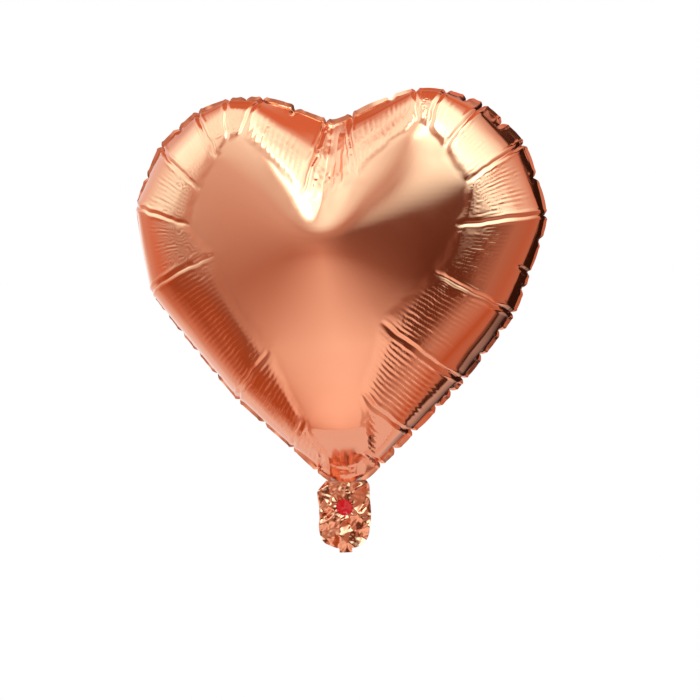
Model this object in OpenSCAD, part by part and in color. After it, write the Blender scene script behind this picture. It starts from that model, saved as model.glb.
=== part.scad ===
// Heart-shaped foil balloon, inflated, with its self-sealing filling tail hanging under the point.
// The heat seal of the two foil panels lies in the plane y = 0 and the front faces -Y.
// The origin is the middle of the neck, where the tail folds and where a ribbon is tied.

/* [Heart] */
// Greatest width of the seal line, across the two lobes
heart_w = 355; // [300:5:420]
// Height of the lobe tops above the neck
heart_h = 341; // [300:5:400]
// Height of the notch between the lobes above the neck
notch_h = 313; // [270:1:330]
// Distance between the two lobe tops
lobe_span = 154; // [130:2:190]
// Depth of one inflated panel at the middle of the heart
belly_depth = 84; // [60:1:100]

/* [Foil] */
// Thickness that stands in for the thin film of a panel
film_t = 0.5; // [0.4:0.1:1]
// Width of the flat heat-sealed rim outside the inflated part
rim_w = 4.5; // [3:0.5:7]
// Number of puckers between the neck and the notch on each side
puckers = 9; // [5:1:14]
// Depth to which a pucker draws the rim of a panel in
pucker_d = 4; // [0:0.5:6]

/* [Tail] */
// Width of the flat tail, with its sealed edges
tail_w = 44; // [36:1:60]
// Length of the tail below the neck
tail_l = 63; // [45:1:90]
// Radius of the inflation hole in the front layer of the tail
hole_r = 7; // [4:0.5:9]
// Depth of the inflation hole's centre below the neck
hole_drop = 23; // [16:1:30]

/* [Valve] */
// Width of the self-sealing channel
valve_w = 30; // [20:1:34]
// Height that the valve reaches up into the heart
valve_up = 120; // [60:5:160]
// Thickness of one valve film
valve_t = 0.15; // [0.1:0.01:0.18]
// Radius of the red mark printed on the valve film behind the inflation hole
mark_r = 10; // [5:1:12]

/* [Hidden] */
$fn = 96;

foil_colour = [0.80, 0.49, 0.40];
valve_colour = [0.92, 0.90, 0.86];
mark_colour = [0.80, 0.08, 0.07];

fold_gap = 0.3;                      // clearance round the rolled top edge of the tail
valve_room = 2 * valve_t + 0.1;      // pocket in each layer for its valve film and the mark
neck_z = film_t + valve_room + fold_gap;
fold_r = film_t + valve_room;        // outside of the rolled fold at the top of the tail
seal_lap = (tail_w - valve_w) / 2;   // sealed edge on each side of the valve

// ---- outline of the heart ----------------------------------------------------------------

// Point on a cubic curve from a to d, with b and c as its handles
function cubic(a, b, c, d, t) =
    pow(1 - t, 3) * a + 3 * pow(1 - t, 2) * t * b + 3 * (1 - t) * t * t * c + pow(t, 3) * d;

neck_corner = [tail_w / 2 - rim_w, neck_z + rim_w];
flank = [52, 45];                    // where the neck's hollow curve meets the flank of the heart
flank_dir = [0.77, 0.64];
widest = [heart_w / 2, 0.67 * heart_h];
lobe_top = [lobe_span / 2, heart_h];
notch = [0, notch_h];

// The seal line's right half, from the neck up to the notch, as four cubic curves
half_curves = [
    [neck_corner, neck_corner + [0, 14], flank - 20 * flank_dir, flank, 7],
    [flank, flank + 66 * flank_dir, widest - [0, 62], widest, 16],
    [widest, widest + [0, 60], lobe_top + [44, 0], lobe_top, 12],
    [lobe_top, lobe_top - [36, 0], notch + [16, 6], notch, 9],
];
right_half = [for (c = half_curves) for (i = [0:c[4] - 1]) cubic(c[0], c[1], c[2], c[3], i / c[4])];
left_half = [for (i = [len(right_half) - 1:-1:0]) [-right_half[i][0], right_half[i][1]]];
neck_line = [for (i = [1:3]) [-neck_corner[0] + i * neck_corner[0] / 2, neck_corner[1]]];
seal_line = concat(right_half, [notch], left_half, neck_line);
n_round = len(seal_line);

// ---- inflated dome over that outline -------------------------------------------------------

centre = [0, 0.55 * heart_h];
core_r = 0.42 * heart_w;             // the level curves turn from heart shaped to round at the middle
rounding = 2.3;                      // how flat the top of the dome is
steepness = 0.52;                    // how upright the foil stands at the seal
neck_steepness = 0.95;
neck_reach = 42;                     // half angle, in degrees, over which the neck flattens the dome
level_count = 11;

function smooth(t) = let(u = max(0, min(1, t))) u * u * (3 - 2 * u);
function bearing(p) = atan2(p[0] - centre[0], centre[1] - p[1]);     // 0 at the neck, 180 at the notch
function blend(a, b, t) = a + (b - a) * t;

// 0 between two puckers and 1 on a pucker, spaced evenly by bearing up each side
function pucker(p) = pow(abs(sin(bearing(p) * puckers)), 3);

// Point on a level curve: level 1 is the seal line and level 0 the middle. inset is the film's thickness.
function level_point(p, level, inset) =
    let(
        arm = p - centre,
        full = norm(arm) - inset,
        share = pow(level, 4),
        reach = level * blend(core_r, full, share)
    )
    centre + arm / norm(arm) * min(reach, full);

function dome_depth(p, level, inset) =
    let(
        near_neck = 1 - smooth(abs(bearing(p)) / neck_reach),
        power = blend(steepness, neck_steepness, near_neck),
        draw_in = pucker_d * pucker(p) * smooth((level - 0.55) / 0.3) * (1 - near_neck)
    )
    max(0, (belly_depth - inset) * pow(max(0, 1 - pow(level, rounding)), power) - draw_in);

// Outward unit normal of the seal line at point i
function outward(i) =
    let(d = seal_line[(i + 1) % n_round] - seal_line[(i + n_round - 1) % n_round]) [d[1], -d[0]] / norm(d);

function level_at(k) = sin(90 * k / level_count);                     // levels crowd towards the seal
function in_neck(p) = 1 - smooth((norm(p - [0, neck_corner[1]]) - neck_corner[0]) / seal_lap);

// Rings of one panel, from the outer middle over the dome, round the rim and back inside to the middle
function outer_ring(k) = [for (p = seal_line)
    let(q = level_point(p, level_at(k), 0)) [q[0], -(film_t + lift(p) + dome_depth(p, level_at(k), 0)), q[1]]];
function inner_ring(k) = [for (p = seal_line)
    let(q = level_point(p, level_at(k), film_t)) [q[0], -(lift(p) + dome_depth(p, level_at(k), film_t)), q[1]]];
function rim_ring(depth) = [for (i = [0:n_round - 1])
    let(p = seal_line[i], q = p + rim_w * outward(i)) [q[0], -(depth + lift(p)), q[1]]];
function lift(p) = valve_room * in_neck(p);                           // room for the valve at the neck

panel_rings = concat(
    [for (k = [1:level_count]) outer_ring(k)],
    [rim_ring(film_t), rim_ring(0)],
    [for (k = [level_count:-1:1]) inner_ring(k)]
);

module panel() {
    rings = len(panel_rings);
    points = concat(
        [for (ring = panel_rings) for (p = ring) p],
        [[centre[0], -(film_t + belly_depth), centre[1]], [centre[0], -belly_depth, centre[1]]]
    );
    walls = [for (k = [0:rings - 2]) for (i = [0:n_round - 1])
        let(a = k * n_round + i, b = k * n_round + (i + 1) % n_round)
        each [[a, a + n_round, b], [b, a + n_round, b + n_round]]];
    outer_cap = [for (i = [0:n_round - 1]) [i, (i + 1) % n_round, rings * n_round]];
    inner_start = (rings - 1) * n_round;
    inner_cap = [for (i = [0:n_round - 1])
        [inner_start + (i + 1) % n_round, inner_start + i, rings * n_round + 1]];
    polyhedron(points, concat(walls, outer_cap, inner_cap));
}

module front_panel() {
    color(foil_colour) panel();
}

module back_panel() {
    color(foil_colour) mirror([0, 1, 0]) panel();
}

// ---- tail ------------------------------------------------------------------------------------

tail_flat = 0.62 * tail_l;           // length of the tail's parallel sides
nub_w = 9;                           // blunt tip left by the heat cutter

// Right edge of the tail: parallel sides, then a rounded end that narrows to the nub
tail_edge = concat(
    [[tail_w / 2, 0]],
    [for (i = [0:12]) cubic([tail_w / 2, -tail_flat], [tail_w / 2, -0.86 * tail_l],
                            [0.3 * tail_w, -0.93 * tail_l], [nub_w / 2, -tail_l], i / 12)]
);
tail_outline = concat(tail_edge, [for (i = [len(tail_edge) - 1:-1:0]) [-tail_edge[i][0], tail_edge[i][1]]]);

// A sheet that lies against the plane y = 0 on its front side, from depth near to depth far
module sheet(near, far) {
    translate([0, -near, 0]) rotate([90, 0, 0]) linear_extrude(far - near) children();
}

// A drilled hole along Y at the height of the inflation hole
module hole_tool(r) {
    translate([0, 0, -hole_drop]) rotate([90, 0, 0]) cylinder(r = r, h = 4 * fold_r, center = true);
}

mouth_l = hole_drop + 2 * hole_r;    // length of valve that hangs inside the tail
mouth_lap = 1.5;                     // the valve film is cut back this far round the inflation hole

module valve_strip(top, bottom) {
    translate([-valve_w / 2, bottom]) square([valve_w, top - bottom]);
}

// One layer of the tail: a rolled top edge round the fold, and a pocket for its valve film
module tail_layer() {
    difference() {
        union() {
            sheet(0, fold_r) polygon(tail_outline);
            intersection() {
                rotate([0, 90, 0]) cylinder(r = fold_r, h = tail_w, center = true);
                translate([-tail_w, -2 * fold_r, -fold_r]) cube([2 * tail_w, 2 * fold_r, 2 * fold_r]);
            }
        }
        translate([0, 1, 0]) sheet(0, valve_room + 1) valve_strip(2 * fold_r, -mouth_l);
    }
}

module front_tail() {
    color(foil_colour) difference() {
        tail_layer();
        hole_tool(hole_r);
    }
}

module back_tail() {
    color(foil_colour) mirror([0, 1, 0]) tail_layer();
}

// ---- valve -----------------------------------------------------------------------------------

// Each film lies against the inside of its own panel, so the channel between them stays open
module valve_film(top, bottom) {
    sheet(valve_room - valve_t, valve_room) valve_strip(top, bottom);
}

module front_valve_film() {
    color(valve_colour) valve_film(valve_up, neck_z);
}

module back_valve_film() {
    color(valve_colour) mirror([0, 1, 0]) valve_film(valve_up, neck_z);
}

module front_valve_mouth() {
    color(valve_colour) difference() {
        valve_film(0, -mouth_l);
        hole_tool(hole_r + mouth_lap);
    }
}

module back_valve_mouth() {
    color(valve_colour) mirror([0, 1, 0]) valve_film(0, -mouth_l);
}

// The mark is printed on the front face of the back film, where the inflation hole shows it
module valve_mark() {
    color(mark_colour) mirror([0, 1, 0])
        sheet(0.1, valve_room - valve_t) translate([0, -hole_drop]) circle(r = mark_r);
}

front_panel();
back_panel();
front_tail();
back_tail();
front_valve_film();
back_valve_film();
front_valve_mouth();
back_valve_mouth();
valve_mark();
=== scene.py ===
import math

import bpy
import numpy as np
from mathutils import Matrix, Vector
from mathutils.geometry import delaunay_2d_cdt


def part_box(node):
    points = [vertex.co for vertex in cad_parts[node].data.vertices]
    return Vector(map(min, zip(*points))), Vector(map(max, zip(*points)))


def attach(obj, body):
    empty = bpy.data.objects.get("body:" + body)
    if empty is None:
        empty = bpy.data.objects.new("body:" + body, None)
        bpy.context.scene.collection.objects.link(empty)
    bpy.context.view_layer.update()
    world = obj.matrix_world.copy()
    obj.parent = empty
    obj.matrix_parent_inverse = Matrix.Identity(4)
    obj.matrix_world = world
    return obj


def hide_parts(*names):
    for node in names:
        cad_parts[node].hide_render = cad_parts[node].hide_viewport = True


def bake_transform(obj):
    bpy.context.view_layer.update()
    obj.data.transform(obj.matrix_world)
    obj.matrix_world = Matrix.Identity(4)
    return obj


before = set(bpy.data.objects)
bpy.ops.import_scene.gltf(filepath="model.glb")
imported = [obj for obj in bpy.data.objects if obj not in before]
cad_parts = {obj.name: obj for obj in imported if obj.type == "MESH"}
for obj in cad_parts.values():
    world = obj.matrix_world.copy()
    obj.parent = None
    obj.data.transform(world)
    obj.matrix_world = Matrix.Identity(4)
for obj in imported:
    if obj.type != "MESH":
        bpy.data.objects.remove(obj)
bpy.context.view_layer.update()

# Lengths are in millimetres until the meshes are made, then MM turns them into metres.
# Flat shapes are in (x, z). The front of the balloon faces -y and the neck is at the origin.
MM = 0.001
panel_low, panel_high = (Vector(corner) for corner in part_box("front_panel"))

# ---- sizes -----------------------------------------------------------------------------------

CUT_W = 450  # the flat heart as it was cut, 18 inches wide
CUT_H = 418
CUT_NOTCH = 396
CUT_LOBE_SPAN = 180
NECK_HALF = 19

BLOWN_W = 355  # width of the seam once the heart is blown up, and the heights that go with it
BLOWN_H = 341
BLOWN_NOTCH = 313
BLOWN_LOBE_SPAN = 154
FLANGE = 4.5  # the flat heat seal outside the inflated part

COARSE = 5.8  # mesh size in the middle of a panel, and near the seam
FINE = 4.6
BAND = 40.0  # how far in from the seam the fine mesh goes
STEPS = 900
HEIGHT_SHARE = 0.985  # the lobes sag a little below the top of the CAD outline
SPLITS = 2  # how often each triangle is then split in four

TAIL_W = 44
TAIL_L = 63
NUB_W = 11
TAIL_FINE = 0.9
HOLE_R = 7.4
HOLE_DROP = 23.0
VALVE_W = 30
VALVE_UP = 118.0
MOUTH_L = 37.0
MARK_R = 10.0

# Creases that run in from the seam, as (share of the way from the neck up to the notch, length).
# The long ones began as places read off a photograph of one balloon and were then changed.
RIGHT_CREASES = [
    (0.045, 48), (0.126, 104), (0.244, 134), (0.369, 120), (0.442, 44), (0.541, 112),
    (0.656, 88), (0.742, 78), (0.804, 66), (0.854, 62), (0.963, 92),
]
LEFT_CREASES = [
    (0.035, 48), (0.087, 84), (0.208, 118), (0.427, 126), (0.579, 104),
    (0.681, 96), (0.765, 82), (0.822, 70), (0.876, 66), (0.988, 100),
]
RIGHT_NICKS = (0.085, 0.18, 0.211, 0.29, 0.336, 0.415, 0.495, 0.602, 0.705, 0.77, 0.9)
LEFT_NICKS = (0.15, 0.26, 0.31, 0.352, 0.39, 0.5, 0.626, 0.723, 0.85, 0.93)
NICK = 14  # length of the small creases that only nick the seam
CELL = 45  # a crease at least this long parts two cells
STRAIGHT = 0.9  # how nearly straight the foil runs from one of these creases to the next
CELL_REACH = 170  # no cell goes further in from the seam than this
CURVE_POINTS = 33  # points that say where a crease runs over the foil
ROW_GAP = 0.87  # from a crease to the mesh row beside it, as a share of FINE
RIDGE_PITCH = 5.6  # from one fine ridge of a cell to the next, at the seam
FLANGE_LEAN = 66  # degrees that the flange is folded back on the right

CALM_ROUNDS = 16  # rounds of evening the foil out once it is blown up, and more of them at the neck
NECK_CALM_ROUNDS = 60
NECK_THIN = 0.35  # thickness of the heart at the neck, as a share of what the gas makes of it
NECK_UP = 60.0  # height at which both fade out

FOIL_GAP = 2.2  # half the gap in the middle of the tail for the foil, a valve film and the mark
VALVE_GAP = 0.9
MARK_GAP = 1.7
TAIL_DEPTH = 6  # the folds of the crushed tail go no further than this from its middle
TAIL_LEAN = 0.08  # the tail leans out of the plane of the heart, and is twisted out of it
TAIL_TWIST = 0.2

# Place of the camera and light: the point they are turned to, and the floor, in metres
AIM = (0.0075, 0, 0.115)
FLOOR_HALF = 0.5
FLOOR_LOW = -1.2


# ---- flat outline ----------------------------------------------------------------------------


def smooth(value):
    """0 below 0, 1 above 1, and an even rise in between."""
    u = np.clip(value, 0, 1)
    return u * u * (3 - 2 * u)


def cubic(a, b, c, d, count=60):
    """Points on a cubic curve from a to d, without d."""
    t = np.linspace(0, 1, count, endpoint=False)[:, None]
    a, b, c, d = (np.array(p, float) for p in (a, b, c, d))
    return (1 - t) ** 3 * a + 3 * (1 - t) ** 2 * t * b + 3 * (1 - t) * t * t * c + t**3 * d


def length_along(points):
    """Length along a line up to each of its points."""
    return np.concatenate([[0], np.cumsum(np.linalg.norm(np.diff(points, axis=0), axis=1))])


def spread(points, count):
    """The same line as so many evenly spaced points."""
    length = length_along(points)
    even = np.linspace(0, length[-1], count)
    return np.stack([np.interp(even, length, points[:, k]) for k in (0, 1)], 1)


def resample(points, step):
    """The same line with points a step apart, both ends kept."""
    return spread(points, max(2, round(length_along(points)[-1] / step)) + 1)


def half_cut():
    """Right half of the flat heart's seam as it was cut, from the corner of the neck to the notch."""
    neck = np.array((NECK_HALF, 0.0))
    flank = np.array((66.0, 28.0))
    along = np.array((0.85, 0.53))
    widest = np.array((CUT_W / 2, 0.62 * CUT_H))
    top = np.array((CUT_LOBE_SPAN / 2, CUT_H))
    notch = np.array((0.0, CUT_NOTCH))
    return np.concatenate([
        cubic(neck, neck + (0, 8), flank - 24 * along, flank),
        cubic(flank, flank + 100 * along, widest - (0, 78), widest),
        cubic(widest, widest + (0, 80), top + (60, 0), top),
        cubic(top, top - (40, 0), notch + (16, 5), notch),
        [notch],
    ])


def half_blown():
    """The same half of the seam once gathered by the gas."""
    neck = np.array((NECK_HALF - 1.5, 0.0))
    flank = np.array((52.0, 45.0))
    along = np.array((0.77, 0.64))
    widest = np.array((BLOWN_W / 2, 0.67 * BLOWN_H))
    top = np.array((BLOWN_LOBE_SPAN / 2, BLOWN_H))
    notch = np.array((0.0, BLOWN_NOTCH))
    return np.concatenate([
        cubic(neck, neck + (0, 18), flank - 20 * along, flank),
        cubic(flank, flank + 66 * along, widest - (0, 62), widest),
        cubic(widest, widest + (0, 68), top + (52, 0), top),
        cubic(top, top - (36, 0), notch + (16, 6), notch),
        [notch],
    ])


def seam(step, half=None, count=None):
    """The seam as a loop, with the number of points up the right half."""
    right = resample(half_cut(), step) if half is None else spread(half, count[0])
    left = right[::-1][1:] * (-1, 1)
    ends = np.array([left[-1], right[0]])
    neck = resample(ends, step)[1:-1] if half is None else spread(ends, count[1] + 2)[1:-1]
    return np.concatenate([right, left, neck]), len(right)


def inside(loop, points):
    """Which points lie inside the loop."""
    x, y = points[:, 0], points[:, 1]
    result = np.zeros(len(points), bool)
    for (x0, y0), (x1, y1) in zip(loop, np.roll(loop, -1, 0)):
        crosses = (y0 > y) != (y1 > y)
        result ^= crosses & (x < (x1 - x0) * (y - y0) / (y1 - y0 + 1e-12) + x0)
    return result


def nearest(loop, points):
    """Distance from each point to the loop's points, and which of them is nearest."""
    gap = np.empty(len(points))
    which = np.empty(len(points), int)
    for i in range(0, len(points), 4000):
        square = ((points[i : i + 4000, None] - loop[None]) ** 2).sum(2)
        which[i : i + 4000] = square.argmin(1)
        gap[i : i + 4000] = np.sqrt(square.min(1))
    return gap, which


def grid(loop, step, random):
    """Scattered points a step apart over the loop's box."""
    low, high = loop.min(0), loop.max(0)
    rows = np.arange(low[1], high[1], step * math.sqrt(3) / 2)
    x, y = np.meshgrid(np.arange(low[0], high[0], step), rows)
    x = x + (np.arange(len(rows)) % 2)[:, None] * step / 2
    points = np.stack([x.ravel(), y.ravel()], 1)
    return points + random.uniform(-0.2, 0.2, points.shape) * step


def triangles_in(loops, scattered):
    """Triangulated points of the loops, which come first and in order, and of the scattered ones."""
    edges = []
    start = 0
    for loop in loops:
        edges += [(start + i, start + (i + 1) % len(loop)) for i in range(len(loop))]
        start += len(loop)
    points = np.concatenate(list(loops) + [scattered])
    found = delaunay_2d_cdt([Vector(p) for p in points], edges, [], 1, 1e-7)
    flat = np.array([p[:] for p in found[0]])
    faces = np.array([f for f in found[2] if len(f) == 3])
    for hole in loops[1:]:
        faces = faces[~inside(hole, flat[faces].mean(1))]
    return flat, faces


def turned(faces, flat):
    """The faces, all wound the same way round."""
    a, b, c = (flat[faces[:, k]] for k in range(3))
    area = (b[:, 0] - a[:, 0]) * (c[:, 1] - a[:, 1]) - (b[:, 1] - a[:, 1]) * (c[:, 0] - a[:, 0])
    faces = faces.copy()
    faces[area < 0] = faces[area < 0][:, ::-1]
    return faces[np.abs(area) > 1e-6]


# ---- creases ---------------------------------------------------------------------------------


def crease_lines(rim, right_count, tangent):
    """The creases in their order round the seam: start, way in the flat, length and depth."""
    inward = np.stack([-tangent[:, 1], tangent[:, 0]], 1)
    top = right_count - 1
    right = [(share * top, share, length) for share, length in RIGHT_CREASES]
    right += [(share * top, share, NICK) for share in RIGHT_NICKS]
    left = [((2 - share) * top, share, length) for share, length in LEFT_CREASES]
    left += [((2 - share) * top, share, NICK) for share in LEFT_NICKS]
    lines = []
    for place, share, length in sorted(right + left):
        i = round(place)
        run = inward[i] + 1.8 * smooth((share - 0.9) / 0.07) * np.array((0.0, -1.0))
        depth = 2.0 if length == NICK else 1.6 + 0.008 * length
        lines.append((rim[i], run / np.linalg.norm(run), length, depth))
    return lines


def crease_place(flat, line):
    """How far each point lies along a crease, and how far to the side of it."""
    start, run, length, depth = line
    arm = flat - start
    return arm @ run, arm[:, 0] * run[1] - arm[:, 1] * run[0]


def crease_rows(lines):
    """Mesh points in three rows along each long crease, so that its valley comes out straight."""
    rows = np.empty((0, 2))
    for start, run, length, _ in lines:
        if length < CELL:
            continue
        side = np.array((run[1], -run[0]))
        for across in (0, -1, 1):
            along = np.arange(FINE * (1 + 0.5 * abs(across)), 1.1 * length, FINE)
            row = start + along[:, None] * run + ROW_GAP * FINE * across * side
            if len(rows):
                row = row[nearest(rows, row)[0] > 0.7 * FINE]
            rows = np.concatenate([rows, row])
    return rows


# ---- inflating the foil ----------------------------------------------------------------------


def coloured(groups, count):
    """Splits rows of point numbers into sets in which no point comes twice."""
    used = [0] * count
    colour = np.zeros(len(groups), int)
    for i, group in enumerate(groups.tolist()):
        taken = 0
        for p in group:
            taken |= used[p]
        c = 0
        while taken >> c & 1:
            c += 1
        for p in group:
            used[p] |= 1 << c
        colour[i] = c
    return [np.nonzero(colour == c)[0] for c in range(colour.max() + 1)]


def across_edges(faces):
    """Pairs of points that face each other across an edge."""
    edge = np.sort(np.concatenate([faces[:, [0, 1]], faces[:, [1, 2]], faces[:, [2, 0]]]), 1)
    other = np.concatenate([faces[:, 2], faces[:, 0], faces[:, 1]])
    key = edge[:, 0].astype(np.int64) * 10**7 + edge[:, 1]
    order = np.argsort(key, kind="stable")
    key, other = key[order], other[order]
    twin = np.nonzero(key[1:] == key[:-1])[0]
    return np.stack([other[twin], other[twin + 1]], 1)


class Film:
    """Two flat panels that share a seam."""

    def __init__(self):
        random = np.random.default_rng(3)
        rim, right_count = seam(FINE)
        close, _ = seam(1.5)
        near = grid(rim, FINE, random)
        gap = nearest(close, near)[0]
        near = near[inside(rim, near) & (gap > 0.6 * FINE) & (gap < BAND)]
        far = grid(rim, COARSE, random)
        gap = nearest(close, far)[0]
        far = far[inside(rim, far) & (gap >= BAND + COARSE / 2)]
        tangent = np.roll(rim, -1, 0) - np.roll(rim, 1, 0)
        tangent /= np.linalg.norm(tangent, axis=1)[:, None]
        self.lines = crease_lines(rim, right_count, tangent)
        rows = crease_rows(self.lines)
        rows = rows[inside(rim, rows) & (nearest(close, rows)[0] > 0.6 * FINE)]
        scattered = np.concatenate([near, far])
        scattered = scattered[nearest(rows, scattered)[0] > 0.75 * FINE]
        panel, faces = triangles_in([rim], np.concatenate([rows, scattered]))
        neck_count = len(rim) - 2 * right_count + 1
        self.blown, _ = seam(FINE, half_blown(), (right_count, neck_count))
        self.front = turned(faces, panel)
        back = np.arange(len(panel))
        back[len(rim) :] += len(panel) - len(rim)
        self.back = back[self.front][:, ::-1]
        self.flat = np.concatenate([panel, panel[len(rim) :]])


def inflate(film):
    """Blows the film up as a sheet that gathers freely but doesn't stretch, and returns its points."""
    bend = 0.04
    flat = film.flat
    count = len(flat)
    rim_count = len(film.blown)
    faces = np.concatenate([film.front, film.back])
    x = np.zeros((count, 3))
    x[:, 0], x[:, 2] = flat[:, 0], flat[:, 1]
    x[np.unique(film.front), 1] = -0.3
    x[np.unique(film.back), 1] = 0.3
    x[np.intersect1d(film.front, film.back), 1] = 0

    pairs = np.concatenate([across_edges(film.front), across_edges(film.back)])
    span = np.linalg.norm(flat[pairs[:, 0]] - flat[pairs[:, 1]], axis=1)
    bends = [(pairs[c, 0].copy(), pairs[c, 1].copy(), span[c]) for c in coloured(pairs, count) if len(c)]

    u = flat[faces[:, 1]] - flat[faces[:, 0]]
    v = flat[faces[:, 2]] - flat[faces[:, 0]]
    turn = u[:, 0] * v[:, 1] - u[:, 1] * v[:, 0]
    columns = (v[:, 1] / turn, -v[:, 0] / turn, -u[:, 1] / turn, u[:, 0] / turn)
    columns += (u[:, 0], u[:, 1], v[:, 0], v[:, 1])
    groups = []
    for c in coloured(faces, count):
        if len(c):
            corners = [faces[c, k].copy() for k in range(3)]
            groups.append(corners + [column[c][:, None].copy() for column in columns])

    a, b, c = faces.T
    mass = np.bincount(faces.ravel(), weights=np.repeat(np.abs(turn) / 6, 3), minlength=count)
    speed = np.zeros((count, 3))
    push = np.zeros((count, 3))
    for step in range(STEPS):
        if step % 2 == 0:
            normal = np.cross(x[b] - x[a], x[c] - x[a]) / 6
            for k in range(3):
                shared = np.repeat(normal[:, k], 3)
                push[:, k] = np.bincount(faces.ravel(), weights=shared, minlength=count) / mass
        late = max(0.0, step / STEPS - 0.5) * 2
        pressure = 0.002 * 0.4 ** min(1.0, late * 1.25) * min(1.0, step / 60)
        before = x.copy()
        x = x + speed + push * pressure
        drawn_in = smooth(step / (0.3 * STEPS))
        for group in groups:
            hold_shape(x, group)
            x[:rim_count, ::2] = (1 - drawn_in) * flat[:rim_count] + drawn_in * film.blown
            x[:rim_count, 1] = 0
        for p, q, length in bends:
            arm = x[p] - x[q]
            now = np.sqrt(np.einsum("ij,ij->i", arm, arm)) + 1e-9
            part = arm * (0.5 * bend * np.minimum((now - length) / now, 0))[:, None]
            x[p] -= part
            x[q] += part
        speed = (x - before) * (0.995 if late == 0 else 0.98)
    return x


def hold_shape(x, group):
    """Takes the stretch out of a set of triangles that share no point."""
    a, b, c, j00, j01, j10, j11, ux, uy, vx, vy = group
    xa, xb, xc = x[a], x[b], x[c]
    u, v = xb - xa, xc - xa
    f1 = u * j00 + v * j10
    f2 = u * j01 + v * j11
    c11 = np.einsum("ij,ij->i", f1, f1)[:, None]
    c22 = np.einsum("ij,ij->i", f2, f2)[:, None]
    c12 = np.einsum("ij,ij->i", f1, f2)[:, None]
    mean = (c11 + c22) / 2
    half_gap = np.sqrt((c11 - c22) ** 2 / 4 + c12 * c12) + 1e-9
    low = np.maximum(mean - half_gap, 1e-4)
    s1 = 1 / np.maximum(np.sqrt(mean + half_gap), 1)
    s2 = 1 / np.maximum(np.sqrt(low), 1)
    t = (s1 - s2) / (2 * half_gap)
    s11 = s2 + t * (c11 - low)
    s22 = s2 + t * (c22 - low)
    g1 = f1 * s11 + f2 * t * c12
    g2 = f1 * t * c12 + f2 * s22
    du = g1 * ux + g2 * uy - u
    dv = g1 * vx + g2 * vy - v
    share = (du + dv) / 3
    x[a] = xa - share
    x[b] = xb + du - share
    x[c] = xc + dv - share


# ---- finer mesh and surface detail -----------------------------------------------------------


def normals_of(x, faces):
    """Smooth unit normals."""
    flat_normal = np.cross(x[faces[:, 1]] - x[faces[:, 0]], x[faces[:, 2]] - x[faces[:, 0]])
    total = np.zeros_like(x)
    for k in range(3):
        for axis in range(3):
            total[:, axis] += np.bincount(faces[:, k], weights=flat_normal[:, axis], minlength=len(x))
    return total / (np.linalg.norm(total, axis=1)[:, None] + 1e-12)


def relax(x, parts, rounds):
    """Evens the foil out. Seam points only follow the seam."""
    front, back = parts
    every = np.concatenate(parts)
    edge = np.sort(np.concatenate([every[:, [0, 1]], every[:, [1, 2]], every[:, [2, 0]]]), 1)
    edge = np.unique(edge, axis=0)
    on_seam = np.zeros(len(x), bool)
    on_seam[np.intersect1d(front, back)] = True
    both = on_seam[edge].all(1)
    to_first = both | ~on_seam[edge[:, 0]]
    to_second = both | ~on_seam[edge[:, 1]]
    target = np.concatenate([edge[to_first, 0], edge[to_second, 1]])
    source = np.concatenate([edge[to_first, 1], edge[to_second, 0]])
    count = np.bincount(target, minlength=len(x))[:, None]
    for _ in range(rounds):
        total = np.stack([np.bincount(target, weights=x[source, k], minlength=len(x)) for k in range(3)], 1)
        x = x + 0.5 * (total / count - x)
    return x


def refine(x, flat, parts):
    """Splits every triangle in four, with new points lifted onto the curve of their neighbours."""
    normal = normals_of(x, np.concatenate(parts[:2]))
    every = np.concatenate(parts)
    edge = np.sort(np.concatenate([every[:, [0, 1]], every[:, [1, 2]], every[:, [2, 0]]]), 1)
    edge, where = np.unique(edge, axis=0, return_inverse=True)
    where = where.reshape(3, -1) + len(x)
    p, q = edge[:, 0], edge[:, 1]
    middle = (x[p] + x[q]) / 2
    from_p = middle - np.einsum("ij,ij->i", middle - x[p], normal[p])[:, None] * normal[p]
    from_q = middle - np.einsum("ij,ij->i", middle - x[q], normal[q])[:, None] * normal[q]
    middle = middle + 0.6 * ((from_p + from_q) / 2 - middle)
    finer = []
    start = 0
    for part in parts:
        ab, bc, ca = (where[k, start : start + len(part)] for k in range(3))
        start += len(part)
        a, b, c = part.T
        finer.append(np.concatenate([
            np.stack([a, ab, ca], 1), np.stack([ab, b, bc], 1),
            np.stack([ca, bc, c], 1), np.stack([ab, bc, ca], 1),
        ]))
    return np.concatenate([x, middle]), np.concatenate([flat, (flat[p] + flat[q]) / 2]), finer


def crease_dip(flat, lines, reach):
    """How far the creases draw the foil in: a sharp valley with a low ridge on each side."""
    dip = np.zeros(len(flat))
    for line in lines:
        along, aside = crease_place(flat, line)
        length, depth = line[2] * reach, line[3]
        fade = np.clip(1 - np.maximum(along, 0) / length, 0, 1) ** 0.5 * (along > -12)
        width = 1.0 + 0.5 * fade + (0.8 if line[2] == NICK else 0)
        off = np.abs(aside) / width
        dip += depth * fade * (np.exp(-off) - 0.3 * np.exp(-((off - 2.6) ** 2)))
    return dip


def cell_walls(lines):
    """Pairs of neighbouring long creases, each the two sides of a cell."""
    walls = [line for line in lines if line[2] >= CELL]
    return zip(walls, walls[1:])


def cell_place(flat, first, second, reach):
    """Points of a cell: whether inside it, share of the way across, and share of the way in from the seam."""
    along_1, aside_1 = crease_place(flat, first)
    along_2, aside_2 = crease_place(flat, second)
    here = (aside_1 > 0) & (aside_2 < 0) & (along_1 > -8) & (along_2 > -8)
    here &= (along_1 < CELL_REACH) & (along_2 < CELL_REACH)
    f = np.clip(aside_1 / (aside_1 - aside_2 + 1e-9), 0, 1)
    inner = reach * ((1 - f) * first[2] + f * second[2])
    return here, f, ((1 - f) * along_1 + f * along_2) / inner


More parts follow.
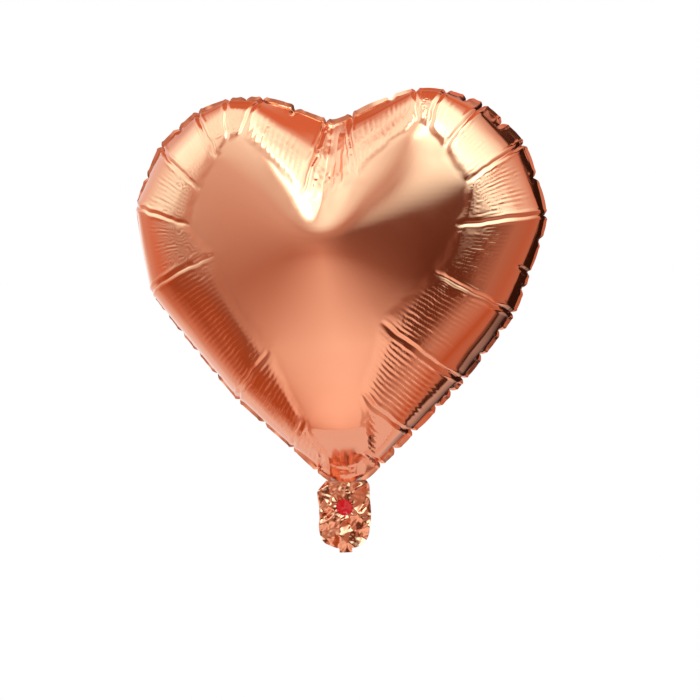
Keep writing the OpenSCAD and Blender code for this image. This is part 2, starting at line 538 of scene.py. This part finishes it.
def crease_curve(x, flat, line, reach):
    """Where a crease runs over the blown-up foil, from the seam to its inner end."""
    start, run, length, _ = line
    curve = []
    for share in np.linspace(0, 1, CURVE_POINTS):
        square = ((flat - start - run * (length * reach * share)) ** 2).sum(1)
        close = np.argpartition(square, 6)[:6]
        weight = 1 / (square[close] + 0.3)
        curve.append((x[close] * weight[:, None]).sum(0) / weight.sum())
    return np.array(curve)


def straighten(x, flat, lines, reach):
    """The foil with straight runs from crease to crease, as taut foil hangs between its creases."""
    result = x.copy()
    steps = np.linspace(0, 1, CURVE_POINTS)
    for first, second in cell_walls(lines):
        if first[0][0] > 0 > second[0][0]:
            continue
        here, f, g = cell_place(flat, first, second, reach)
        here &= g < 1.2
        curve_1, curve_2 = (crease_curve(x, flat, line, reach) for line in (first, second))
        f, g = f[here, None], g[here]
        side_1 = np.stack([np.interp(g, steps, curve_1[:, k]) for k in range(3)], 1)
        side_2 = np.stack([np.interp(g, steps, curve_2[:, k]) for k in range(3)], 1)
        share = (STRAIGHT * smooth((1.12 - g) / 0.45) * (0.5 + 0.5 * smooth(g / 0.25)))[:, None]
        result[here] += share * ((1 - f) * side_1 + f * side_2 - x[here])
    return result


def cells(flat, lines, reach, seed):
    """Relief of the foil between two creases: fine ridges in its inner half that end at a low lip."""
    random = np.random.default_rng(seed)
    height = np.zeros(len(flat))
    for first, second in cell_walls(lines):
        here, f, g = cell_place(flat, first, second, reach)
        span = np.linalg.norm(first[0] - second[0])
        bow = 4 * f * (1 - f)
        g = g / (0.98 + 0.04 * bow * random.uniform(-1, 1))
        lip = 0.9 * smooth((g - 0.6) / 0.32) * (1 - smooth((g - 0.95) / 0.12)) * smooth(bow * 1.5)
        ridges = round(span / RIDGE_PITCH)
        drift = 0.1 * np.sin(f * 7 + random.uniform(0, 6))
        drift += 0.05 * np.sin(f * 19 + random.uniform(0, 6))
        wave = np.cos(2 * math.pi * (f * ridges + drift))
        start = random.uniform(0.3, 0.5) + 0.07 * np.sin(f * ridges * 1.3 + seed)
        grow = smooth((g - start) / 0.35) * (1 - smooth((g - 0.9 - 0.03 * wave) / 0.1))
        strength = random.uniform(0.16, 0.36) * smooth(f / 0.05) * smooth((1 - f) / 0.05)
        height += np.where(here, lip + strength * grow * wave, 0)
    return height


def neck_room(flat):
    """Half the gap between front and back foil where the valve passes the neck."""
    return 1.4 * np.clip(1 - (flat[:, 0] / NECK_HALF) ** 2, 0, 1) * np.exp(-((flat[:, 1] / 20) ** 2))


def scallops(flat, ring, lines):
    """0 where a crease meets the seam and 1 halfway to the next one, for each point of the ring."""
    starts = np.array([line[0] for line in lines])
    knots = np.sort(nearest(flat[ring], starts)[1])
    knots = np.concatenate([knots[-1:] - len(ring), knots, knots[:1] + len(ring)])
    place = np.arange(len(ring))
    which = np.clip(np.searchsorted(knots, place, side="right") - 1, 0, len(knots) - 2)
    share = (place - knots[which]) / np.maximum(knots[which + 1] - knots[which], 1)
    return np.sqrt(np.clip(4 * share * (1 - share), 0, 1))


def seal_strip(x, flat, normal, ring, lines):
    """The flange, folded back on the right: rows of points outside the ring of seam points, and faces."""
    n = len(ring)
    length = np.cumsum(np.linalg.norm(flat[ring] - flat[np.roll(ring, 1)], axis=1))
    ripple = 0.45 * np.sin(length / 4.1 + 1.5 * np.sin(length / 17)) + 0.3 * np.sin(length / 9.3 + 2)
    points = [x[ring]]
    folded = smooth((x[ring, 0] + 30) / 140)[:, None]
    lean = math.radians(FLANGE_LEAN) * folded
    outward = normal[ring] * np.cos(lean) + np.array((0, 1, 0)) * np.sin(lean)
    arch = scallops(flat, ring, lines)[:, None]
    width = FLANGE * ((1 - folded) * (0.6 + 0.12 * arch) + folded * (0.4 + 1.2 * arch))
    for k in (1, 2, 3):
        row = x[ring] + outward * width * k / 3
        row[:, 1] += ripple * (1 - 0.9 * folded[:, 0]) * (k / 3)
        points.append(row)
    a = np.arange(n)
    b = (a + 1) % n
    faces = []
    for k in (0, 1, 2):
        faces += [np.stack([k * n + a, (k + 1) * n + a, k * n + b], 1)]
        faces += [np.stack([k * n + b, (k + 1) * n + a, (k + 1) * n + b], 1)]
    return np.concatenate(points), np.concatenate(faces)


def foil_panels():
    """The front and back foil with their creases, and the flange, each as points and faces."""
    film = Film()
    x = inflate(film)
    flat, parts = film.flat, [film.front, film.back]
    x = relax(x, parts, CALM_ROUNDS)
    x[:, 1] *= NECK_THIN + (1 - NECK_THIN) * smooth(x[:, 2] / NECK_UP)
    calm = relax(x, parts, NECK_CALM_ROUNDS)
    x += (calm - x) * smooth((NECK_UP - flat[:, 1]) / 40)[:, None]
    for _ in range(SPLITS):
        x, flat, parts = refine(x, flat, parts)
    front, back = parts
    sides = ((back, 0.85, 11), (front, 1.0, 5))
    for part, reach, _ in sides:
        mine = np.unique(part)
        x[mine] = straighten(x[mine], flat[mine], film.lines, reach)
    normal = normals_of(x, np.concatenate(parts))
    fold = np.zeros(len(flat))
    for part, reach, seed in sides:
        mine = np.unique(part)
        shape = cells(flat[mine], film.lines, reach, seed)
        fold[mine] = shape - crease_dip(flat[mine], film.lines, reach)
    x = x + normal * (fold * smooth(flat[:, 1] / 12))[:, None]
    x[:, 2] -= x[flat[:, 1] == 0, 2].mean()

    on_seam = np.intersect1d(front, back)
    on_seam = on_seam[flat[on_seam, 1] > 0]
    close, _ = seam(0.25)
    ring = on_seam[np.argsort(nearest(close, flat[on_seam])[1])]
    normal[ring, 1] *= 0.3
    normal[ring] /= np.linalg.norm(normal[ring], axis=1)[:, None]
    strip, strip_faces = seal_strip(x, flat, normal, ring, film.lines)
    low, high = strip.min(0), strip.max(0)
    size = (
        (panel_high.x - panel_low.x) / MM / (high[0] - low[0]),
        2 * -panel_low.y / MM / np.ptp(x[:, 1]),
        HEIGHT_SHARE * panel_high.z / MM / high[2],
    )
    room = np.zeros_like(x)
    room[:, 1] = neck_room(flat)
    return (x * size - room, front), (x * size + room, back), (strip * size, strip_faces)


# ---- tail and valve --------------------------------------------------------------------------


def crumple(points):
    """Height of foil that was crushed and opened: flat facets between straight folds."""
    random = np.random.default_rng(4)
    height = np.zeros(len(points))
    for pitch, slope in ((28, 0.2), (18, 0.24), (11, 0.22), (6, 0.12)):
        for _ in range(2):
            turn = random.uniform(0, 2 * math.pi)
            bend = 0.25 * np.sin(points[:, 1] / pitch * 2 + random.uniform(0, 6))
            across = points @ np.array((math.cos(turn), math.sin(turn)))
            phase = across / pitch + random.uniform(0, 1) + bend
            height += slope * pitch * (np.abs(phase - np.floor(phase) - 0.5) - 0.25)
    return height


def tail_outline(step):
    """Outline of the flat tail."""
    half = TAIL_W / 2
    corner = (half, -0.62 * TAIL_L)
    nub = (NUB_W / 2, -0.94 * TAIL_L)
    edge = np.concatenate([
        cubic((NECK_HALF * 0.95, 0), (half - 1, -4), (half, -6), (half, -12)),
        [corner],
        cubic(corner, (half, -0.86 * TAIL_L), (0.3 * TAIL_W, -0.93 * TAIL_L), nub),
        [nub, (NUB_W / 2, -TAIL_L)],
    ])
    loop = np.concatenate([edge, edge[::-1] * (-1, 1)])
    return resample(np.concatenate([loop, loop[:1]]), step)[:-1]


def circle(radius, step):
    """A ring of points round the inflation hole."""
    turn = np.linspace(0, 2 * math.pi, round(2 * math.pi * radius / step), endpoint=False)
    return np.stack([radius * np.cos(turn), radius * np.sin(turn) - HOLE_DROP], 1)


def sheet_of(loops, step):
    """A flat triangle mesh inside the first loop and outside the others."""
    points = grid(loops[0], step, np.random.default_rng(2))
    keep = inside(loops[0], points)
    for loop in loops:
        gap, _ = nearest(loop, points)
        keep &= gap > 0.6 * step
    for hole in loops[1:]:
        keep &= ~inside(hole, points)
    flat, faces = triangles_in(loops, points[keep])
    return flat, turned(faces, flat)


def tail_shape(flat, side, gap):
    """Where a layer of the tail goes. side is -1 for the front and 1 for the back."""
    x, z = flat[:, 0], flat[:, 1]
    edge = np.abs(x) / (TAIL_W / 2)
    below = smooth(-z / 10)
    pleats = 0.4 * np.cos(x + 2 * np.sin(x / 3)) * np.exp(z / 8) * smooth(-z / 3)
    belly = gap * np.sqrt(np.clip(1 - edge**2, 0, 1)) * smooth(-z / 6) * smooth((z + TAIL_L) / 14)
    puckers = np.exp(-(((np.hypot(x, z + HOLE_DROP) - HOLE_R) / 4.5) ** 2))
    turn = np.arctan2(z + HOLE_DROP, x)
    y = crumple(flat) * below + pleats + side * (belly + neck_room(flat) * gap / FOIL_GAP)
    y += 0.35 * puckers * np.cos(11 * turn)
    y = np.clip(y, -TAIL_DEPTH, TAIL_DEPTH) + below * (TAIL_LEAN * z + TAIL_TWIST * x)
    sideways = x * (1 + 0.01 * below) + below * (0.6 * np.sin(z / 6) - 2)
    return np.stack([sideways, y, z], 1)


def valve_strip(side):
    """One valve film, from inside the heart down into the tail."""
    half = VALVE_W / 2 - 1
    step = 2.0
    corners = [(-half, -MOUTH_L), (half, -MOUTH_L), (half, VALVE_UP), (-half, VALVE_UP)]
    loops = [resample(np.array(corners + corners[:1]), step)[:-1]]
    if side < 0:
        loops.append(circle(HOLE_R + 1.5, 1.2))
    flat, faces = sheet_of(loops, step)
    hung = tail_shape(flat, side, VALVE_GAP)
    still = np.stack([flat[:, 0], np.full(len(flat), 0.25 * side), flat[:, 1]], 1)
    return np.where((flat[:, 1] < 0)[:, None], hung, still), faces


# ---- materials -------------------------------------------------------------------------------


def principled(name, colour, metallic, roughness):
    """A new material and its shader."""
    material = bpy.data.materials.new(name)
    material.use_nodes = True
    shader = material.node_tree.nodes["Principled BSDF"]
    shader.inputs["Base Color"].default_value = (*colour, 1)
    shader.inputs["Metallic"].default_value = metallic
    shader.inputs["Roughness"].default_value = roughness
    return material, shader


def foil_material():
    """Rose gold metal on polyester film: a mirror with a faint rolling haze."""
    material, shader = principled("rose_gold_foil", (0.87, 0.365, 0.21), 1.0, 0.1)
    nodes, links = material.node_tree.nodes, material.node_tree.links
    noise = nodes.new("ShaderNodeTexNoise")
    noise.inputs["Scale"].default_value = 60
    noise.inputs["Detail"].default_value = 3
    place = nodes.new("ShaderNodeTexCoord")
    links.new(place.outputs["Object"], noise.inputs["Vector"])
    haze = nodes.new("ShaderNodeMapRange")
    haze.inputs["To Min"].default_value = 0.07
    haze.inputs["To Max"].default_value = 0.15
    links.new(noise.outputs["Fac"], haze.inputs["Value"])
    links.new(haze.outputs["Result"], shader.inputs["Roughness"])
    return material


def valve_material():
    """Clear milky polyethylene."""
    material, shader = principled("valve_film", (0.92, 0.9, 0.86), 0.0, 0.3)
    shader.inputs["Alpha"].default_value = 0.55
    return material


def mark_material():
    """Red print on the valve film."""
    return principled("valve_mark", (0.9, 0.01, 0.02), 0.0, 0.15)[0]


# ---- objects ---------------------------------------------------------------------------------


def piece(name, points, faces, material):
    """A mesh object from points in millimetres, with unused points left out."""
    used, index = np.unique(faces, return_inverse=True)
    mesh = bpy.data.meshes.new(name)
    mesh.from_pydata((points[used] * MM).tolist(), [], index.reshape(faces.shape).tolist())
    mesh.polygons.foreach_set("use_smooth", [True] * len(mesh.polygons))
    mesh.materials.append(material)
    mesh.update()
    obj = bpy.data.objects.new(name, mesh)
    bpy.context.collection.objects.link(obj)
    return obj


def heart_pieces(foil):
    """Front and back foil of the heart, each with its side of the flange."""
    front, back, flange = foil_panels()
    for name, (points, faces), node, side in (
        ("front_foil", front, "front_panel", -1),
        ("back_foil", back, "back_panel", 1),
    ):
        rim_points = flange[0] + (0, 0.08 * side, 0)
        rim_faces = flange[1][:, ::side] + len(points)
        points = np.concatenate([points, rim_points])
        obj = piece(name, points, np.concatenate([faces, rim_faces]), foil)
        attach(obj, "heart")
        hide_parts(node)


def tail_pieces(foil):
    """Front and back foil of the tail, the front one with the inflation hole."""
    outline = tail_outline(TAIL_FINE)
    for name, loops, node, side in (
        ("tail_front_foil", [outline, circle(HOLE_R, 0.8)], "front_tail", -1),
        ("tail_back_foil", [outline], "back_tail", 1),
    ):
        flat, faces = sheet_of(loops, TAIL_FINE)
        obj = piece(name, tail_shape(flat, side, FOIL_GAP), faces, foil)
        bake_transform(obj)
        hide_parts(node)


def valve_pieces(valve):
    """The two valve films, each in one piece from the heart into the tail."""
    for name, nodes, side in (
        ("valve_front", ("front_valve_film", "front_valve_mouth"), -1),
        ("valve_back", ("back_valve_film", "back_valve_mouth"), 1),
    ):
        points, faces = valve_strip(side)
        obj = piece(name, points, faces, valve)
        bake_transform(obj)
        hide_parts(*nodes)


def mark_piece(mark):
    """The printed mark, between the front foil and the front valve film of the tail."""
    flat, faces = sheet_of([circle(MARK_R, 0.9)], TAIL_FINE)
    obj = piece("printed_mark", tail_shape(flat, -1, MARK_GAP), faces, mark)
    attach(obj, "tail")
    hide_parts("valve_mark")


def build():
    """All pieces of the balloon."""
    foil, valve, mark = foil_material(), valve_material(), mark_material()
    heart_pieces(foil)
    tail_pieces(foil)
    valve_pieces(valve)
    mark_piece(mark)


# ---- studio ----------------------------------------------------------------------------------


# Light of the room in belts from the floor up. Each belt has its height in degrees and its stops, as
# (bearing in degrees with 0 in front and 90 to the right, brightness, warmth from -1 cool to 1.2 deep
# orange). The stops aren't a free design: most are rounded from a table that a separate program made of
# the colours in a photograph of one balloon, and some were then changed by eye.
BELTS = [
    (-80, [
        (-180, 0.87, 0.6), (0, 0.95, 0.4), (180, 0.87, 0.6),
    ]),
    (-45, [
        (-180, 0.85, 0.3), (-130, 0.98, 0.1), (-108, 0.65, 0.8), (-88, 0.46, 1.2),
        (-48, 0.47, 1.1), (-32, 0.9, 0.4), (-10, 1.2, 0.1), (14, 1.12, 0.1), (32, 0.62, 0.5),
        (55, 0.7, 0.5), (100, 0.54, 1.1), (128, 0.6, 0.8), (132, 0.05, 1.0), (142, 0.05, 1.0),
        (146, 0.9, 0.2),
    ]),
    (-20, [
        (-180, 0.9, 0.4), (-135, 0.95, 0.1), (-100, 0.7, 0.7), (-72, 0.38, 1.1),
        (-45, 0.32, 0.9), (-30, 0.8, 0.3), (-8, 1.15, 0.0), (12, 0.95, 0.2), (22, 0.17, 1.0),
        (38, 0.18, 1.0), (54, 0.5, 0.6), (100, 0.55, 0.9), (134, 0.6, 0.8), (138, 0.03, 1.0),
        (170, 0.03, 1.0),
    ]),
    (0, [
        (-180, 0.8, 0.5), (-145, 1.1, -0.2), (-110, 0.76, 0.6), (-84, 0.72, 0.9),
        (-64, 0.45, 0.8), (-46, 0.5, 0.5), (-28, 0.5, 0.7), (-9, 0.7, 0.5), (6, 0.36, 0.7),
        (20, 0.13, 1.0), (48, 0.16, 1.0), (70, 0.5, 0.6), (96, 0.5, 0.8), (126, 0.6, 0.7),
        (130, 0.03, 1.0), (170, 0.03, 1.0),
    ]),
    (22, [
        (-180, 0.6, 1.0), (-155, 0.68, 0.8), (-130, 0.95, 0.1), (-95, 0.95, -0.2),
        (-72, 1.15, -0.9), (-58, 0.8, -0.2), (-40, 0.7, 0.3), (-12, 0.58, 0.5), (4, 0.25, 0.7),
        (28, 0.15, 0.9), (42, 1.0, -0.6), (54, 1.5, -0.9), (72, 0.9, 0.2), (130, 0.72, 0.7),
        (134, 0.03, 1.0), (168, 0.03, 1.0),
    ]),
    (40, [
        (-180, 0.65, 1.2), (-142, 0.66, 1.1), (-118, 1.2, -0.4), (-92, 1.6, -0.9),
        (-68, 1.4, -0.8), (-48, 0.85, 0.0), (-28, 0.82, 0.1), (-8, 0.55, 0.5), (3, 0.6, 0.2),
        (13, 1.5, -0.8), (28, 2.4, -1.0), (56, 1.8, -1.0), (95, 1.0, -0.4), (128, 0.68, 0.3),
        (132, 0.05, 1.0), (142, 0.05, 1.0), (146, 0.8, 0.6),
    ]),
    (60, [
        (-180, 0.7, 1.0), (-125, 0.72, 1.0), (-95, 1.3, -0.7), (-50, 1.3, -0.9),
        (-20, 1.2, -0.7), (-4, 1.0, -0.3), (9, 2.2, -1.0), (40, 2.2, -1.0), (90, 1.5, -0.8),
        (115, 0.9, 0.3), (135, 0.78, 1.0),
    ]),
]


def tint(brightness, warmth):
    """A colour between cool and deep orange."""
    return (brightness, brightness * (1 - 0.62 * warmth), brightness * (1 - 0.78 * warmth), 1)


def ramp(nodes, stops, full):
    """A colour ramp over an angle from -full to full degrees."""
    node = nodes.new("ShaderNodeValToRGB")
    stop_list = node.color_ramp.elements
    while len(stop_list) > 1:
        stop_list.remove(stop_list[-1])
    for k, (angle, colour) in enumerate(stops):
        place = (angle + full) / (2 * full)
        stop = stop_list[0] if k == 0 else stop_list.new(place)
        stop.position = place
        stop.color = colour
    return node


def calculate(nodes, links, operation, *values):
    """A maths node, fed with sockets or numbers."""
    node = nodes.new("ShaderNodeMath")
    node.operation = operation
    for socket, value in zip(node.inputs, values):
        if isinstance(value, (int, float)):
            socket.default_value = value
        else:
            links.new(value, socket)
    return node.outputs[0]


def room_light():
    """Light of a room with pale and dark walls. The camera itself sees white wherever nothing stands."""
    world = bpy.data.worlds.new("studio")
    world.use_nodes = True
    nodes, links = world.node_tree.nodes, world.node_tree.links
    way = nodes.new("ShaderNodeSeparateXYZ")
    links.new(nodes.new("ShaderNodeTexCoord").outputs["Generated"], way.inputs[0])
    front = calculate(nodes, links, "MULTIPLY", way.outputs["Y"], -1.0)
    bearing = calculate(nodes, links, "ARCTAN2", way.outputs["X"], front)
    height = calculate(nodes, links, "ARCSINE", way.outputs["Z"])
    around = calculate(nodes, links, "MULTIPLY_ADD", bearing, 0.5 / math.pi, 0.5)
    upward = calculate(nodes, links, "MULTIPLY_ADD", height, 1 / math.pi, 0.5)
    total, low = None, None
    for high, stops in BELTS:
        belt = ramp(nodes, [(angle, tint(brightness, warmth)) for angle, brightness, warmth in stops], 180)
        links.new(around, belt.inputs[0])
        if total is None:
            total, low = belt.outputs[0], high
            continue
        share = ramp(nodes, [(low, (0, 0, 0, 1)), (high, (1, 1, 1, 1))], 90)
        links.new(upward, share.inputs[0])
        both = nodes.new("ShaderNodeMixRGB")
        links.new(share.outputs[0], both.inputs[0])
        links.new(total, both.inputs[1])
        links.new(belt.outputs[0], both.inputs[2])
        total, low = both.outputs[0], high
    seen = nodes.new("ShaderNodeMixRGB")
    links.new(nodes.new("ShaderNodeLightPath").outputs["Is Camera Ray"], seen.inputs[0])
    links.new(total, seen.inputs[1])
    seen.inputs[2].default_value = (1, 1, 1, 1)
    links.new(seen.outputs[0], nodes["Background"].inputs["Color"])
    bpy.context.scene.world = world


def turn_to_balloon(obj, bearing, height, distance):
    """Puts a light or camera so far from the balloon, turned to it. Bearing and height are in degrees."""
    turn, rise = math.radians(bearing), math.radians(height)
    away = Vector((math.sin(turn) * math.cos(rise), -math.cos(turn) * math.cos(rise), math.sin(rise)))
    obj.location = Vector(AIM) + away * distance
    obj.rotation_euler = away.to_track_quat("Z", "Y").to_euler()
    bpy.context.collection.objects.link(obj)


def softbox(name, bearing, height, size, radiance):
    """A rectangular light turned to the balloon, which the camera doesn't see."""
    lamp = bpy.data.lights.new(name, "AREA")
    lamp.shape = "RECTANGLE"
    lamp.size, lamp.size_y = size
    lamp.energy = radiance * math.pi * size[0] * size[1]
    obj = bpy.data.objects.new(name, lamp)
    turn_to_balloon(obj, bearing, height, 1.8)
    obj.visible_camera = False


def studio():
    """Pale floor, the light of the room, a softbox and the camera."""
    mesh = bpy.data.meshes.new("floor")
    sides = ((-1, -1), (1, -1), (1, 1), (-1, 1))
    corners = [(x * FLOOR_HALF, y * FLOOR_HALF, FLOOR_LOW) for x, y in sides]
    mesh.from_pydata(corners, [], [(0, 1, 2, 3)])
    floor = bpy.data.objects.new("floor", mesh)
    paper, _ = principled("floor_paper", (0.9, 0.7, 0.7), 0.0, 0.8)
    floor.data.materials.append(paper)
    bpy.context.collection.objects.link(floor)
    room_light()
    softbox("ceiling_light", 20, 62, (0.5, 0.3), 2.5)

    camera = bpy.data.objects.new("camera", bpy.data.cameras.new("camera"))
    camera.data.sensor_width = 36
    camera.data.lens = 88
    turn_to_balloon(camera, 10.0, 3.0, 1.5)
    camera.rotation_euler.rotate_axis("Z", math.radians(-2.0))
    bpy.context.scene.camera = camera
    bpy.context.scene.view_settings.view_transform = "Standard"


build()
studio()
